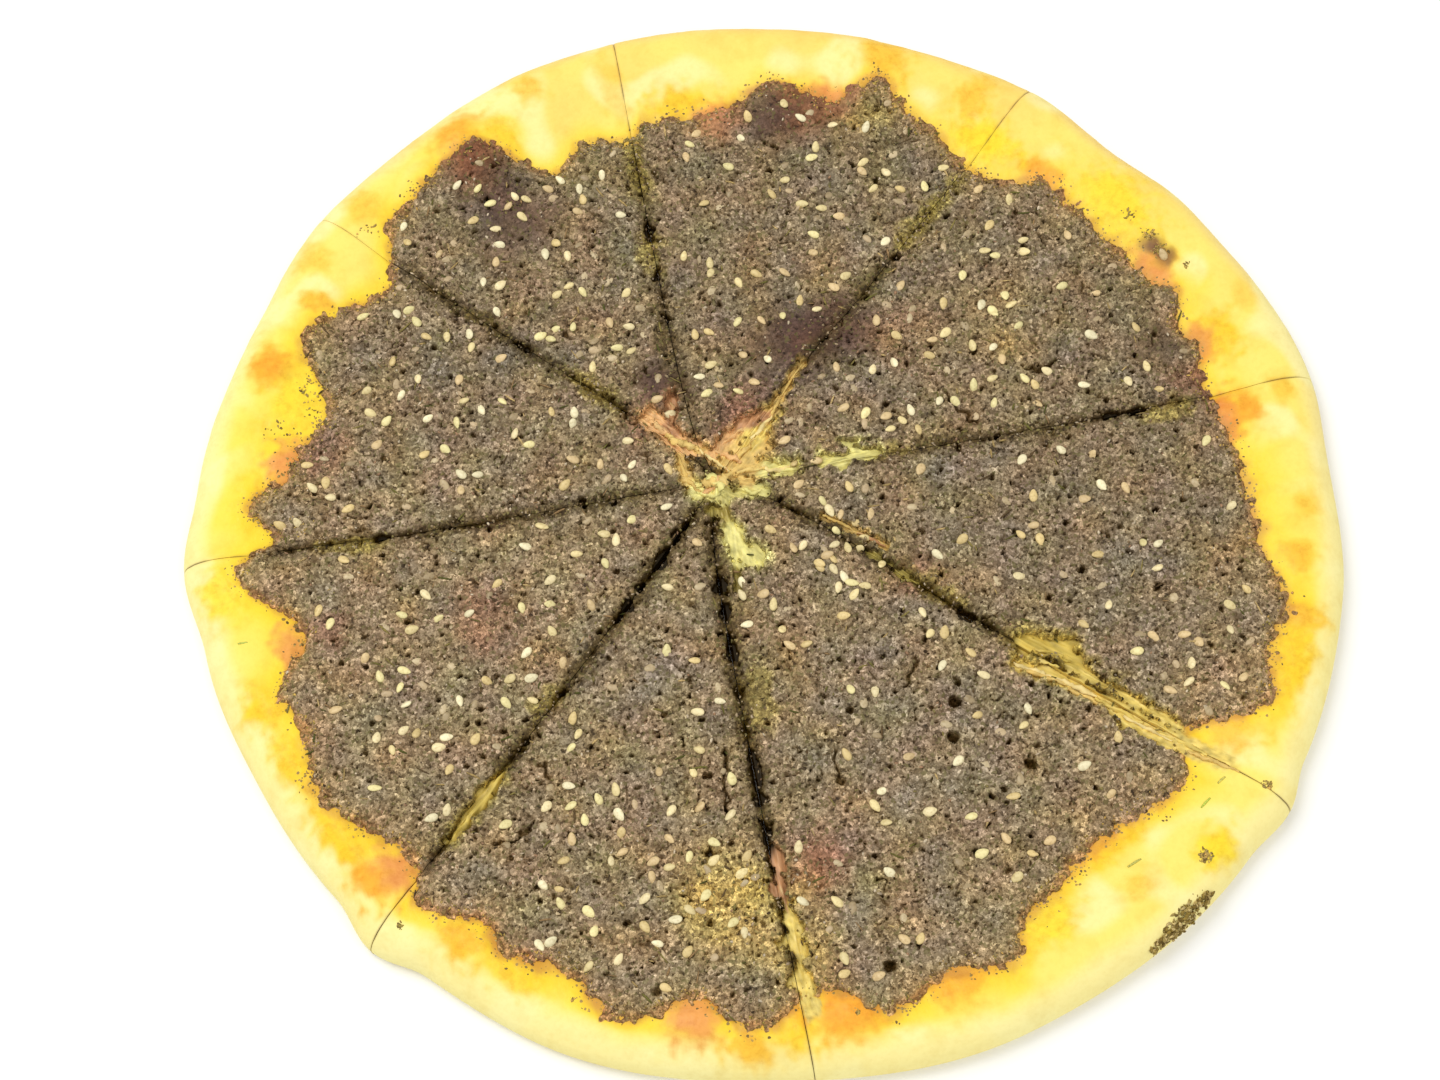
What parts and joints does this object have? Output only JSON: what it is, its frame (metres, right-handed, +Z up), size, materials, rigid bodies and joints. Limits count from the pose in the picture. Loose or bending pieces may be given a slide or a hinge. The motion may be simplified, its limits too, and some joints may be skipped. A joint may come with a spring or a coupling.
{
  "type": "manakish",
  "caption": "Round flatbread with a raised pale rim and a dark za'atar and sesame topping, cut into slices that lie together as one round.",
  "frame": {"origin": "middle of the flat underside's box, on the surface that the bread lies on", "axes": "+Z up through the topping, -Y towards the camera of the picture, +X to its right"},
  "size_m": [0.2792, 0.2754, 0.0116],
  "materials": {
    "baked_dough": "baked wheat dough, pale cream at the side, yellow and browned by the topping",
    "zaatar": "coarse baked herb and seed crust, matte, slightly oily"
  },
  "bodies": {
    "root": {"bread_slice_1": "baked_dough", "bread_slice_2": "baked_dough", "bread_slice_3": "baked_dough", "bread_slice_4": "baked_dough", "bread_slice_5": "baked_dough", "bread_slice_6": "baked_dough", "bread_slice_7": "baked_dough", "bread_slice_8": "baked_dough", "zaatar_layer_1": "zaatar", "zaatar_layer_2": "zaatar", "zaatar_layer_3": "zaatar", "zaatar_layer_4": "zaatar", "zaatar_layer_5": "zaatar", "zaatar_layer_6": "zaatar", "zaatar_layer_7": "zaatar", "zaatar_layer_8": "zaatar"}
  },
  "joints": []
}
